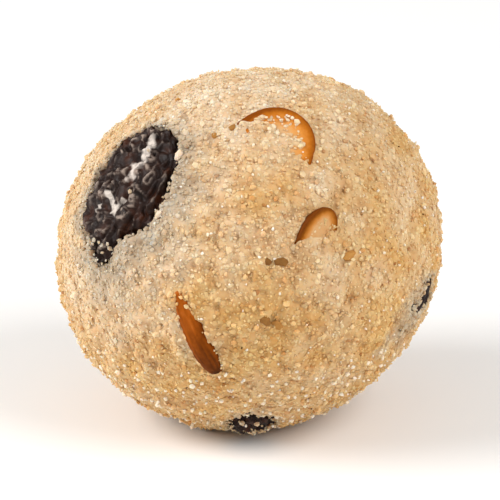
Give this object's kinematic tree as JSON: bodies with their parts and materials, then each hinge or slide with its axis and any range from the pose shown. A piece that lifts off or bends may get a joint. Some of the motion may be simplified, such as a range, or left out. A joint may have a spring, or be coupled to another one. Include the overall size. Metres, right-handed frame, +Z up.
{
  "type": "rava ladoo",
  "caption": "Round Indian sweet, rolled by hand from roasted semolina, sugar and ghee, with almond flakes, almond slivers and raisins pressed into its crumbly skin.",
  "frame": {"origin": "centre of the ball's outline, at the height of the small flat that it rests on", "axes": "+Z up out of the flat, -Y towards the side that the picture shows, +X to that side's right"},
  "size_m": [0.0395, 0.0398, 0.0366],
  "materials": {
    "roasted_semolina": "crumbly pressed semolina, matt, with fine glints of sugar and ghee",
    "raisin_skin": "wrinkled dried grape skin, slightly sticky and glossy along its folds"
  },
  "bodies": {
    "root": {"ladoo": "roasted_semolina", "raisin_left": "raisin_skin", "raisin_right": "raisin_skin", "raisin_under": "raisin_skin"}
  },
  "joints": []
}
